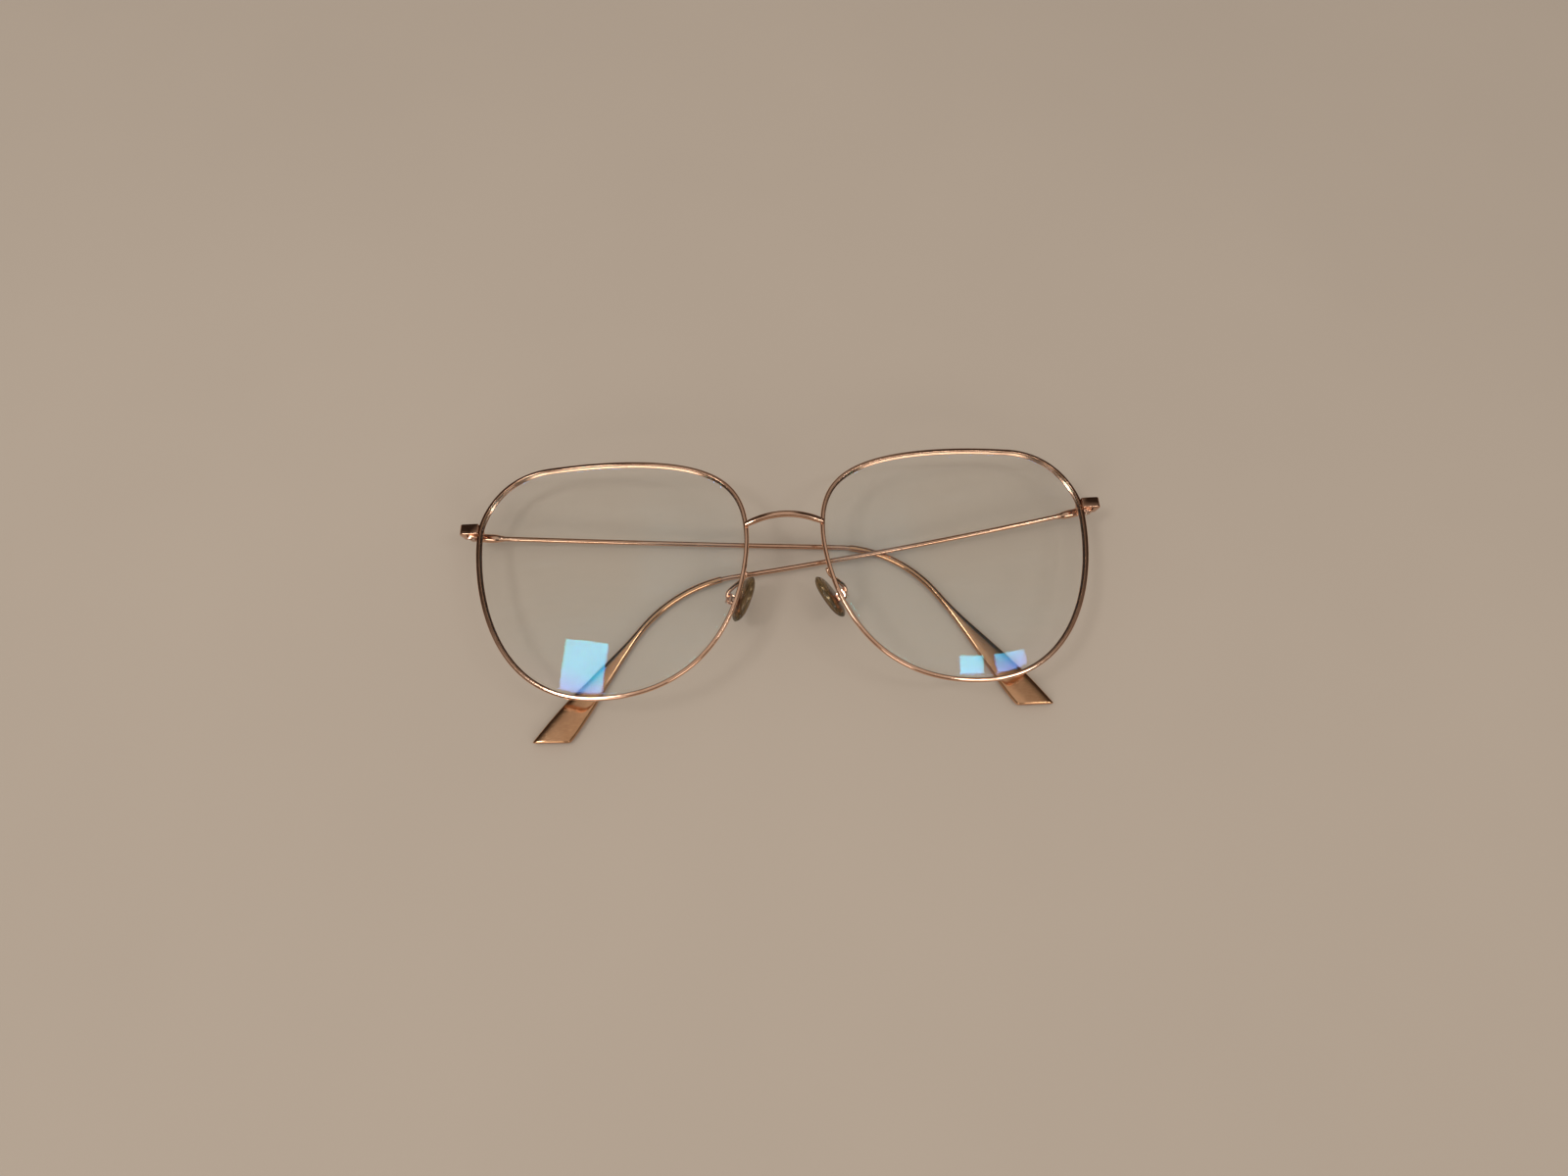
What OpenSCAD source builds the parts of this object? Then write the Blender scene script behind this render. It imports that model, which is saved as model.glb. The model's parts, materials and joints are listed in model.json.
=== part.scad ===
// Full-rim wire eyeglasses, folded, lying on their temples with the front facing up.
// Millimetres. +X is towards the wearer's left, +Y towards the top of the front and
// +Z out of the front face. z = 0 is the surface that the folded glasses lie on, and
// the origin is the middle of their footprint on it. Lists of two hold the wearer's
// left side first, then the right. Every side part is drawn on +X and mirrored.

/* [Rims and lenses] */
// Width of a rim, measured between the wire's centrelines
rim_w = 59; // [50:0.5:62]
// Height of a rim, measured between the wire's centrelines
rim_h = 52.4; // [44:0.2:56]
// Gap between the two rims' centrelines at the nose
rim_gap = 16.9; // [14:0.1:20]
// Width of the rim wire, seen from the front
wire_w = 0.96; // [0.9:0.02:1.2]
// Depth of the rim wire, front to back
wire_t = 1.3; // [1.2:0.1:1.8]
// Thickness of a lens
lens_t = 1.3; // [1:0.1:2]
// Radius of the lens surface, a four base curve
lens_r = 131; // [100:1:200]
// Angle by which each lens turns back at its outer side
face_form = 5; // [0:0.5:8]
// Height of the rims' highest middle points above the lying surface
lens_z = 14.7; // [14.5:0.1:17]
// Height of the lens middle line above the middle of the footprint, along Y
front_y = 3.44; // [0:0.02:8]

/* [Bridge and nose pads] */
// Height of the bridge's feet above the lens middle line
bridge_y = 9.1; // [6:0.1:12]
// Rise of the bridge from its feet to its middle
bridge_rise = 1.5; // [0.5:0.1:4]
// Forward bow of the bridge from its feet to its middle
bridge_bow = 1.5; // [0:0.1:3]
// Thickness of the bridge bar
bridge_t = 1.3; // [1:0.05:2]
// Length of a nose pad
pad_l = 10.6; // [9:0.1:13]
// Width of a nose pad
pad_w = 6.8; // [5:0.1:8]
// Thickness of a nose pad at its middle
pad_t = 2.3; // [2.1:0.1:2.6]
// Splay of the nose pads, front to back
pad_splay = 25; // [20:1:35]
// Lean of each nose pad, seen from the front
pad_lean = [28.5, 20.2];

/* [End pieces and hinges] */
// Overall width across the end pieces
front_w = 142; // [141:0.1:143]
// Height of an end piece
end_h = 2.3; // [2:0.1:3]
// Distance of each hinge axis from the middle plane
hinge_x = 67.8; // [67.7:0.05:67.9]
// Height of each hinge axis above the lying surface
hinge_z = 6.05; // [6:0.05:6.1]
// Height of the hinge's middle above the lens middle line
hinge_y = 13.05; // [12.8:0.05:13.3]
// Radius of the hinge knuckles
knuckle_r = 1; // [0.9:0.02:1]
// Radius of the hinge screw
hinge_screw_r = 0.6; // [0.5:0.02:0.62]

/* [Temples] */
// Diameter of the temple wire
temple_d = 1.1; // [1:0.02:1.3]
// Length of the temple wire from the hinge to the start of the ear bend
wire_len = 80; // [70:0.2:90]
// Slope of each temple wire at the hinge, seen from the side of the head
pitch_front = [9.8, 3.9];
// Slope of each temple wire at the start of the ear bend
pitch_rear = [6.1, 3];
// Radius of each ear bend
bend_r = [31.8, 28.2];
// Slope of each tip behind the ear bend
tip_slope = [51.8, 54.7];
// Straight length of each tip behind the ear bend
tip_len = [29.6, 32.5];
// Distance from the hinge to the start of the metal tip
sleeve_at = 83; // [80:0.5:90]
// Diameter of the tip where the wire enters it
sleeve_d = 1.46; // [1.4:0.02:1.8]
// Width of the tip's blade at its end
blade_w = 6.4; // [4:0.1:7]
// Thickness of the tip's blade
blade_t = 1.8; // [1.6:0.1:2.2]
// Angle between the blade and its slanted end cut
end_cut = 54; // [50:1:90]

/* [Hidden] */

LEFT = 0;
RIGHT = 1;
ROSE_GOLD = [0.80, 0.56, 0.44];
DARK_GOLD = [0.62, 0.42, 0.32];
CLEAR = [0.80, 0.92, 0.95, 0.35];
SILICONE = [0.70, 0.66, 0.52, 0.7];
$fn = 48;

// Gaps between neighbours
brazed = 0.06;      // overlap of two brazed pieces
gap = 0.05;         // free gap between pieces that only touch
pin_play = 0.05;    // radial play of a pin that turns
pin_snug = 0.01;    // radial play of a pin that is screwed in

// Place of a lens in the front
lens_x = rim_gap / 2 + rim_w / 2 * cos(face_form);

// The rim's outline in its own plane: its four extreme points, with the pull of each curve
TOP = [0.472 * rim_w / 2, rim_h / 2];
OUTER = [rim_w / 2, 0.481 * rim_h / 2];
BOTTOM = [0.032 * rim_w / 2, -rim_h / 2];
INNER = [-rim_w / 2, 0.26 * rim_h / 2];
outline_y = -0.2;   // the outline's middle lies just below the lens middle line
rim_steps = 14;     // stations on each quarter of a rim
split = 0.008;      // share of a quarter left open where the rim is split

// Rim wire: an outer half round, and an inner face with a groove for the lens
groove_floor = 0.1;
groove_half = 0.24;
groove_mouth = 0.34;
rim_edge = 0.14;    // bevel on the inner corners
rim_round = 0.42;   // half width of the round outer face

// Lens edge
lens_gap = 0.04;    // gap all round between lens and rim
tongue_half = 0.14; // half thickness of the tongue that sits in the groove

// End piece
end_t = 1;                            // thickness of its plate and leg
end_x = front_w / 2;                  // its outer face
end_front = 9.5;                      // its front face
end_round = 0.8;                      // its outer front corner
end_inner = 66.95;                    // where its plate meets the rim
leg_taper = 0.3;                      // the leg leans in by this much
leg_end = hinge_z + 0.13;             // its closing face, just short of the temple's

// Hinge
hinge_h = 2.6;
middle_knuckle = 0.9;
temple_offset = knuckle_r + 0.04 + 0.98;   // from the hinge axis to the temple's centreline
temple_z = hinge_z - temple_offset;
leaf_t = 0.8;

// Temple butt
butt_r = 0.98;
butt_len = 4.3;
butt_socket = 1.7;  // where the wire begins inside the butt
collar_r = 0.68;
collar_len = 0.35;

// Temple tip
wire_z_rear = [1.4, 0.92];  // height of each wire at the start of the ear bend
socket_len = 9;             // length of wire inside the tip
flare_from = 31;            // the blade widens from here to its end
flare_len = 29;             // and has its full width after this length
thick_to = 16;              // and its full thickness here
blade_power = 2.8;          // squareness of the blade's section

// Nose pads
pad_at = [[9.3, -5.55, 7], [9.55, -5.15, 7]];
pad_curve = 20;     // radius of the pad's two faces
boss_drop = -1.2;   // the boss sits below the pad's middle
boss_r = 0.8;
boss_w = 1.1;
pivot = pad_t / 2 + 1;      // from the pad's middle to its rocking axis
box_wall = 0.4;
box_front = 1.5;
box_back = pivot + boss_r + gap + box_wall;
box_half = boss_w / 2 + gap + box_wall;
box_h = 1.9;
pad_screw_r = 0.45;
arm_r = 0.45;

// Screws
head_t = 0.32;
slot_w = 0.22;

// ---------- helpers ----------

function smooth(t) = let (c = min(1, max(0, t))) c * c * (3 - 2 * c);
function unit(v) = v / norm(v);
function bezier(a, b, c, d, t) =
    pow(1 - t, 3) * a + 3 * t * pow(1 - t, 2) * b + 3 * t * t * (1 - t) * c + pow(t, 3) * d;
function bezier_way(a, b, c, d, t) =
    unit(pow(1 - t, 2) * (b - a) + 2 * t * (1 - t) * (c - b) + t * t * (d - c));

// One ring of a skin: a section placed with its first axis along a and its second along b
function ring(at, a, b, section) = [for (p = section) at + p.x * a + p.y * b];

// A rounded section whose flats touch its width and thickness
function oval(w, t, sides, power) =
    let (reach = pow(cos(180 / sides), 2 / power))
    [for (i = [0 : sides - 1])
        let (f = (i + 0.5) * 360 / sides)
        [w / 2 / reach * sign(cos(f)) * pow(abs(cos(f)), 2 / power),
         t / 2 / reach * sign(sin(f)) * pow(abs(sin(f)), 2 / power)]];

// A closed solid through a row of rings with equal numbers of points.
// A ring runs anticlockwise when it is seen along the row.
module skin(rings) {
    n = len(rings[0]);
    last = len(rings) - 1;
    sides = [for (i = [0 : last - 1], j = [0 : n - 1])
        let (k = (j + 1) % n)
        each [[i * n + j, i * n + k, i * n + n + k], [i * n + j, i * n + n + k, i * n + n + j]]];
    first_cap = [for (j = [n - 1 : -1 : 0]) j];
    last_cap = [for (j = [0 : n - 1]) last * n + j];
    polyhedron([for (r = rings) each r], concat(sides, [first_cap, last_cap]), convexity = 8);
}

// Draws on the wearer's left, or mirrored on the right
module side(k) {
    translate([0, front_y, 0]) {
        if (k == LEFT) children();
        if (k == RIGHT) mirror([1, 0, 0]) children();
    }
}

module lens_frame() {
    translate([lens_x, 0, lens_z]) rotate([0, face_form, 0]) children();
}

// A cylinder along Y, from y0 to y1
module pin_y(r, y0, y1) {
    translate([0, y0, 0]) rotate([-90, 0, 0]) cylinder(r = r, h = y1 - y0);
}

// A cylinder along X, from x0 to x1
module pin_x(r, x0, x1) {
    translate([x0, 0, 0]) rotate([0, 90, 0]) cylinder(r = r, h = x1 - x0);
}

// ---------- rims and lenses ----------

// One quarter of the outline: level at p, upright at q. pull_p and pull_q shape it.
function quarter(p, q, pull_p, pull_q, t) =
    bezier(p, p + [pull_p * (q.x - p.x), 0], q + [0, pull_q * (p.y - q.y)], q, t);
function quarter_way(p, q, pull_p, pull_q, t) =
    bezier_way(p, p + [pull_p * (q.x - p.x), 0], q + [0, pull_q * (p.y - q.y)], q, t);

// Point and direction on the outline, anticlockwise from the outer point, for t from 0 to 4
function outline_point(t) = [0, outline_y] + (
    t < 1 ? quarter(TOP, OUTER, 0.85, 0.15, 1 - t) :
    t < 2 ? quarter(TOP, INNER, 0.74, 0.87, t - 1) :
    t < 3 ? quarter(BOTTOM, INNER, 0.92, 0.17, 3 - t) :
    quarter(BOTTOM, OUTER, 0.93, 0.16, t - 3));
function outline_way(t) =
    t < 1 ? -quarter_way(TOP, OUTER, 0.85, 0.15, 1 - t) :
    t < 2 ? quarter_way(TOP, INNER, 0.74, 0.87, t - 1) :
    t < 3 ? -quarter_way(BOTTOM, INNER, 0.92, 0.17, 3 - t) :
    quarter_way(BOTTOM, OUTER, 0.93, 0.16, t - 3);
function outward(t) = let (w = outline_way(t)) [w.y, -w.x];

// The outline moved outwards by d
function outline(d) = [for (i = [0 : 4 * rim_steps - 1])
    let (t = i / rim_steps) outline_point(t) + d * outward(t)];

// Height of the lens's middle surface over a point of the outline's plane
function dome(p) = sqrt(lens_r * lens_r - p.x * p.x - p.y * p.y) - lens_r;

rim_section = concat(
    [for (f = [-90 : 45 : 90]) [wire_w / 2 - rim_round + rim_round * cos(f), wire_t / 2 * sin(f)]],
    [[-wire_w / 2 + rim_edge, wire_t / 2], [-wire_w / 2, wire_t / 2 - rim_edge],
     [-wire_w / 2, groove_mouth], [-groove_floor, groove_half],
     [-groove_floor, -groove_half], [-wire_w / 2, -groove_mouth],
     [-wire_w / 2, -wire_t / 2 + rim_edge], [-wire_w / 2 + rim_edge, -wire_t / 2]]);

function rim_ring(t) =
    let (p = outline_point(t), n = outward(t))
    ring([p.x, p.y, dome(p)], [n.x, n.y, 0], [0, 0, 1], rim_section);

// An open ring: its two ends meet at the outer side, where the lock draws them together
module rim() {
    lens_frame()
        skin([for (i = [0 : 4 * rim_steps])
            rim_ring(min(4 - split, max(split, i / rim_steps)))]);
}

module lens_slab(inset, thickness) {
    intersection() {
        translate([0, 0, -10]) linear_extrude(14) polygon(outline(-inset));
        translate([0, 0, -lens_r]) difference() {
            sphere(lens_r + thickness / 2, $fn = 200);
            sphere(lens_r - thickness / 2, $fn = 200);
        }
    }
}

// A curved lens, with a thin tongue round its edge that sits in the rim's groove
module lens() {
    lens_frame() {
        lens_slab(wire_w / 2 + lens_gap, lens_t);
        lens_slab(groove_floor + lens_gap, 2 * tongue_half);
    }
}

// ---------- rim locks ----------

lock_x = 68.2;
lock_z = 7.78;
lock_w = 2;
lock_d = 1.34;
lock_h = 1.15;
lock_y = OUTER.y + outline_y;
lock_screw_r = 0.4;
lock_rise = end_front - end_t + brazed - lock_z - lock_d / 2;

module lock_at() {
    translate([lock_x, lock_y, lock_z]) children();
}

// Half of the lock, from y0 to y1. Only the upper half rises to the end piece and is brazed to it.
module rim_lock(y0, y1, rise = 0) {
    lock_at() difference() {
        translate([-lock_w / 2, y0, -lock_d / 2]) cube([lock_w, y1 - y0, lock_d + rise]);
        pin_y(lock_screw_r + pin_snug, y0 - 1, y1 + 1);
    }
}

// A slotted head with its shank along +Y. The head's seat is at y = 0.
module screw_y(r, length, head_r) {
    pin_y(r, -head_t / 2, length);
    difference() {
        pin_y(head_r, -head_t, 0);
        translate([-head_r - 1, -head_t - 1, -slot_w / 2]) cube([2 * head_r + 2, 1.16, slot_w]);
    }
}

// ---------- bridge ----------

bridge_steps = 24;
bridge_foot = [8.35, bridge_y, 14.3];

function bridge_point(t) = let (s = 2 * t - 1)
    [s * bridge_foot.x, bridge_foot.y + bridge_rise * (1 - s * s), bridge_foot.z + bridge_bow * (1 - s * s)];
function bridge_ring(t) =
    let (way = unit(bridge_point(t + 0.01) - bridge_point(t - 0.01)),
         up = unit(cross(way, [0, 0, -1])),
         ends = smooth(abs(2 * t - 1) * 4 - 3))
    ring(bridge_point(t), -up, cross(-up, way), oval(bridge_t * (1 - 0.15 * ends), bridge_t * (1 - 0.1 * ends), 12, 3.2));

module bridge() color(ROSE_GOLD) {
    translate([0, front_y, 0]) skin([for (i = [0 : bridge_steps]) bridge_ring(i / bridge_steps)]);
}

// ---------- end pieces and hinges ----------

// Seen along Y: a front plate that turns back into a leg round a soft corner
end_profile = concat(
    [[end_inner, end_front]],
    [for (f = [90 : -15 : 0])
        [end_x - end_round + end_round * cos(f), end_front - end_round + end_round * sin(f)]],
    [[end_x - leg_taper, leg_end], [end_x - leg_taper - end_t, leg_end],
     [end_x - leg_taper - end_t, end_front - end_t], [end_inner, end_front - end_t]]);

module end_piece() {
    translate([0, hinge_y + end_h / 2, 0]) rotate([90, 0, 0]) linear_extrude(end_h) polygon(end_profile);
}

module hinge_at() {
    translate([hinge_x, hinge_y, hinge_z]) children();
}

// Two knuckles on a leaf that is brazed to the inside of the leg
module hinge_front() {
    leaf_out = end_x - leg_taper - end_t + brazed - hinge_x;
    leaf_low = leg_end - hinge_z;
    lock_clear = lock_z - lock_d / 2 - gap - hinge_z;
    hinge_at() difference() {
        union() {
            translate([leaf_out - leaf_t, -hinge_h / 2, leaf_low])
                cube([leaf_t, hinge_h, lock_clear - leaf_low]);
            for (up = [-1, 1]) {
                y0 = up > 0 ? middle_knuckle / 2 + gap : -hinge_h / 2;
                y1 = up > 0 ? hinge_h / 2 : -middle_knuckle / 2 - gap;
                pin_y(knuckle_r, y0, y1);
                translate([0, y0, leaf_low]) cube([leaf_out, y1 - y0, knuckle_r - leaf_low]);
            }
        }
        pin_y(hinge_screw_r + pin_snug, -hinge_h, hinge_h);
    }
}

module hinge_screw() {
    hinge_at() translate([0, hinge_h / 2, 0]) mirror([0, 1, 0])
        screw_y(hinge_screw_r, hinge_h, knuckle_r - 0.15);
}

// The temple's single knuckle, with a neck down to the butt
module hinge_rear() {
    h = middle_knuckle;
    hinge_at() difference() {
        union() {
            pin_y(knuckle_r, -h / 2, h / 2);
            translate([-knuckle_r, -h / 2, -knuckle_r - 0.35]) cube([knuckle_r, h, knuckle_r + 0.35]);
        }
        pin_y(hinge_screw_r + pin_play, -h, h);
    }
}

// ---------- temples ----------

// Where an arc ends that starts at p with slope a, ends with slope b and is len long.
// Seen from the side: x runs back from the hinge and y is up.
function arc_end(p, a, b, len) = a == b
    ? p + len * [cos(a), -sin(a)]
    : p + len / ((b - a) * PI / 180) * [sin(b) - sin(a), cos(b) - cos(a)];

function bend_len(k) = bend_r[k] * (tip_slope[k] - pitch_rear[k]) * PI / 180;
function temple_len(k) = wire_len + bend_len(k) + tip_len[k];

function temple_slope(k, s) =
    s < wire_len ? pitch_front[k] + (pitch_rear[k] - pitch_front[k]) * s / wire_len :
    s < wire_len + bend_len(k) ? pitch_rear[k] + (s - wire_len) / bend_r[k] * 180 / PI :
    tip_slope[k];

function temple_run(k, s) =
    let (wire_end = arc_end([0, 0], pitch_front[k], pitch_rear[k], wire_len),
         bend_end = arc_end(wire_end, pitch_rear[k], tip_slope[k], bend_len(k)))
    s < wire_len ? arc_end([0, 0], pitch_front[k], temple_slope(k, s), max(s, 0.001)) :
    s < wire_len + bend_len(k) ? arc_end(wire_end, pitch_rear[k], temple_slope(k, s), s - wire_len + 0.001) :
    bend_end + (s - wire_len - bend_len(k)) * [cos(tip_slope[k]), -sin(tip_slope[k])];

// Height of the folded temple: the wire slopes to the lying surface and the tip lies along it
function temple_height(k, s) =
    s < wire_len ? temple_z + (wire_z_rear[k] - temple_z) * s / wire_len :
    wire_z_rear[k] + (blade_t / 2 - wire_z_rear[k]) * smooth((s - wire_len) / bend_len(k));

function temple_point(k, s) = let (p = temple_run(k, s))
    [hinge_x - p.x, hinge_y + p.y, temple_height(k, s)];
function temple_way(k, s) = unit(temple_point(k, s + 0.05) - temple_point(k, s - 0.05));

// A ring across the temple. slant moves each point along the temple by a share of its height.
function temple_ring(k, s, section, slant = 0) =
    let (f = temple_slope(k, s),
         up = [-sin(f), cos(f), 0],
         way = temple_way(k, s))
    ring(temple_point(k, s), up + slant * way, cross(up, way), section);

// Stations every step or less, with both ends
function stations(from, to, step) = let (n = ceil((to - from) / step))
    [for (i = [0 : n]) from + (to - from) * i / n];

module along_butt(k) {
    way = temple_way(k, 0.05);
    translate(temple_point(k, 0)) rotate([0, acos(way.z), atan2(way.y, way.x)]) children();
}

// Half of the butt's outline: straight, then a bullet nose, then a small collar
butt_profile = concat(
    [[0, -1], [butt_r, -1], [butt_r, butt_len * 0.45]],
    [for (f = [15 : 15 : 75])
        [collar_r - 0.06 + (butt_r - collar_r + 0.06) * cos(f), butt_len * (0.45 + 0.5 * sin(f))]],
    [[collar_r - 0.06, butt_len], [collar_r, butt_len + 0.06],
     [collar_r, butt_len + collar_len], [0, butt_len + collar_len]]);

// A turned bullet that is cut square to the closing face of the end piece
module temple_butt(k) {
    difference() {
        along_butt(k) rotate_extrude() polygon(butt_profile);
        along_butt(k) translate([0, 0, butt_socket - gap]) cylinder(r = temple_d / 2 + pin_snug, h = 10);
        translate([hinge_x, hinge_y - 5, 0]) cube([10, 10, 10]);
    }
}

module temple_wire(k) {
    round_wire = oval(temple_d * cos(15), temple_d * cos(15), 12, 2);
    skin([for (s = stations(butt_socket, sleeve_at + socket_len - gap, 4.2))
        temple_ring(k, s, round_wire)]);
}

function tip_width(k, s) =
    let (left = temple_len(k) - s)
    sleeve_d + (blade_w - sleeve_d) * smooth((flare_from - left) / flare_len);
function tip_thickness(k, s) =
    let (left = temple_len(k) - s)
    sleeve_d + (blade_t - sleeve_d) * smooth((flare_from - left) / (flare_from - thick_to));
function tip_power(k, s) =
    let (left = temple_len(k) - s)
    2 + (blade_power - 2) * smooth((flare_from - left) / (flare_from - thick_to));
function tip_slant(k, s) =
    let (left = temple_len(k) - s)
    smooth(1 - left / 8) / tan(end_cut);

function tip_ring(k, s, shrink = 0) =
    temple_ring(k, s, oval(tip_width(k, s) - shrink, tip_thickness(k, s) - shrink, 12, tip_power(k, s)),
        tip_slant(k, s));

// A metal tip: a round sleeve over the wire that bends behind the ear and flattens to a blade
module temple_tip(k) {
    end = temple_len(k);
    bore = oval(temple_d + 0.06, temple_d + 0.06, 12, 2);
    socket = [for (s = stations(-sleeve_at - socket_len, -sleeve_at, 3)) temple_ring(k, -s, bore)];
    body = [for (s = stations(sleeve_at + 0.15, end - 0.3, 2.1)) tip_ring(k, s)];
    skin(concat(socket, [tip_ring(k, sleeve_at, 0.16)], body, [tip_ring(k, end - 0.06, 0.35), tip_ring(k, end, 0.8)]));
}

// ---------- nose pads ----------

// On a pad: x runs to the rear along the rocking axis, y up the pad, z away from the nose
function pad_point(k, p) =
    let (b = 90 - pad_splay,
         q = [p.x * cos(b) + p.z * sin(b), p.y, -p.x * sin(b) + p.z * cos(b)],
         t = pad_lean[k])
    pad_at[k] + [q.x * cos(t) - q.y * sin(t), q.x * sin(t) + q.y * cos(t), q.z];

module pad_frame(k) {
    translate(pad_at[k]) rotate([0, 0, pad_lean[k]]) rotate([0, 90 - pad_splay, 0]) children();
}

// An oval that is a little fuller at its upper end
pad_outline = [for (f = [0 : 12 : 348])
    [pad_w / 2 * (1 + 0.05 * sin(f)) * sign(cos(f)) * pow(abs(cos(f)), 0.85),
     pad_l / 2 * sign(sin(f)) * pow(abs(sin(f)), 0.85)]];

plate_l = 5;
plate_w = 2.4;
plate_t = 0.5;
plate_z = -0.1;

module insert_shape(grow) {
    translate([0, boss_drop, plate_z - grow]) linear_extrude(plate_t + 2 * grow) {
        for (end = [-1, 1])
            translate([0, end * (plate_l - plate_w) / 2]) circle(plate_w / 2 + grow);
        square([plate_w + 2 * grow, plate_l - plate_w], center = true);
    }
    translate([-boss_w / 2 - grow, boss_drop - boss_r - grow, plate_z + plate_t / 2])
        cube([boss_w + 2 * grow, 2 * boss_r + 2 * grow, pivot - plate_z - plate_t / 2]);
}

module nose_pad(k) {
    pad_frame(k) difference() {
        intersection() {
            translate([0, 0, -pad_t / 2]) linear_extrude(pad_t) polygon(pad_outline);
            translate([0, 0, pad_t / 2 - pad_curve]) sphere(pad_curve, $fn = 120);
            translate([0, 0, pad_curve - pad_t / 2]) sphere(pad_curve, $fn = 120);
        }
        insert_shape(0.02);
    }
}

// The metal heart of a pad: a plate inside the silicone, and a boss with the pivot hole
module pad_insert(k) {
    pad_frame(k) difference() {
        union() {
            insert_shape(0);
            translate([0, boss_drop, pivot]) pin_x(boss_r, -boss_w / 2, boss_w / 2);
        }
        translate([0, boss_drop, pivot]) pin_x(pad_screw_r + pin_play, -2, 2);
    }
}

// A small box with two cheeks that hold the boss between them
module pad_box(k) {
    inner = boss_w / 2 + gap;
    pad_frame(k) translate([0, boss_drop, 0]) difference() {
        translate([-box_half, -box_h / 2, box_front]) cube([2 * box_half, box_h, box_back - box_front]);
        translate([-inner, -box_h, box_front - 1]) cube([2 * inner, 2 * box_h, box_back - box_front - box_wall + 1]);
        translate([0, 0, pivot]) pin_x(pad_screw_r + pin_snug, -5, 5);
    }
}

module pad_screw(k) {
    pad_frame(k) translate([box_half, boss_drop, pivot]) rotate([0, 0, 90])
        screw_y(pad_screw_r, 2 * box_half, 0.72);
}

arm_from = 2.26;    // where on the outline the arm is brazed to the rim

// A gooseneck wire from the back of the rim round to the back of the box
module pad_arm(k) {
    foot = outline_point(arm_from);
    n = outward(arm_from);
    p = [foot.x + 0.4 * n.x, foot.y + 0.4 * n.y, dome(foot) - wire_t / 2 + 0.1];
    a = [lens_x + p.x * cos(face_form) + p.z * sin(face_form), p.y,
         lens_z - p.x * sin(face_form) + p.z * cos(face_form)];
    d = pad_point(k, [0, boss_drop, box_back - brazed]);
    b = a + [0.3, -1.8, -2.2];
    c = pad_point(k, [-0.5, boss_drop + 1.6, box_back + 1.6]);
    round_wire = oval(2 * arm_r, 2 * arm_r, 10, 2);
    skin([for (i = [0 : 14])
        let (t = i / 14,
             way = bezier_way(a, b, c, d, t),
             up = unit(cross(way, [1, 0.2, 0.1])))
        ring(bezier(a, b, c, d, t), up, cross(up, way), round_wire)]);
}

// ---------- the pieces ----------

module left_rim() color(ROSE_GOLD) side(LEFT) rim();
module left_lens() color(CLEAR) side(LEFT) lens();
module left_rim_lock_upper() color(ROSE_GOLD) side(LEFT) rim_lock(gap / 2, lock_h, lock_rise);
module left_rim_lock_lower() color(ROSE_GOLD) side(LEFT) rim_lock(-lock_h, -gap / 2);
module left_rim_lock_screw() color(DARK_GOLD) side(LEFT) lock_at()
    translate([0, -lock_h, 0]) screw_y(lock_screw_r, 2 * lock_h - 0.1, 0.7);
module left_end_piece() color(ROSE_GOLD) side(LEFT) end_piece();
module left_hinge_front() color(ROSE_GOLD) side(LEFT) hinge_front();
module left_hinge_screw() color(DARK_GOLD) side(LEFT) hinge_screw();
module left_hinge_rear() color(ROSE_GOLD) side(LEFT) hinge_rear();
module left_temple_butt() color(ROSE_GOLD) side(LEFT) temple_butt(LEFT);
module left_temple_wire() color(ROSE_GOLD) side(LEFT) temple_wire(LEFT);
module left_temple_tip() color(ROSE_GOLD) side(LEFT) temple_tip(LEFT);
module left_pad_arm() color(ROSE_GOLD) side(LEFT) pad_arm(LEFT);
module left_pad_box() color(ROSE_GOLD) side(LEFT) pad_box(LEFT);
module left_pad_screw() color(DARK_GOLD) side(LEFT) pad_screw(LEFT);
module left_pad_insert() color(DARK_GOLD) side(LEFT) pad_insert(LEFT);
module left_nose_pad() color(SILICONE) side(LEFT) nose_pad(LEFT);

module right_rim() color(ROSE_GOLD) side(RIGHT) rim();
module right_lens() color(CLEAR) side(RIGHT) lens();
module right_rim_lock_upper() color(ROSE_GOLD) side(RIGHT) rim_lock(gap / 2, lock_h, lock_rise);
module right_rim_lock_lower() color(ROSE_GOLD) side(RIGHT) rim_lock(-lock_h, -gap / 2);
module right_rim_lock_screw() color(DARK_GOLD) side(RIGHT) lock_at()
    translate([0, -lock_h, 0]) screw_y(lock_screw_r, 2 * lock_h - 0.1, 0.7);
module right_end_piece() color(ROSE_GOLD) side(RIGHT) end_piece();
module right_hinge_front() color(ROSE_GOLD) side(RIGHT) hinge_front();
module right_hinge_screw() color(DARK_GOLD) side(RIGHT) hinge_screw();
module right_hinge_rear() color(ROSE_GOLD) side(RIGHT) hinge_rear();
module right_temple_butt() color(ROSE_GOLD) side(RIGHT) temple_butt(RIGHT);
module right_temple_wire() color(ROSE_GOLD) side(RIGHT) temple_wire(RIGHT);
module right_temple_tip() color(ROSE_GOLD) side(RIGHT) temple_tip(RIGHT);
module right_pad_arm() color(ROSE_GOLD) side(RIGHT) pad_arm(RIGHT);
module right_pad_box() color(ROSE_GOLD) side(RIGHT) pad_box(RIGHT);
module right_pad_screw() color(DARK_GOLD) side(RIGHT) pad_screw(RIGHT);
module right_pad_insert() color(DARK_GOLD) side(RIGHT) pad_insert(RIGHT);
module right_nose_pad() color(SILICONE) side(RIGHT) nose_pad(RIGHT);

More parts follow.
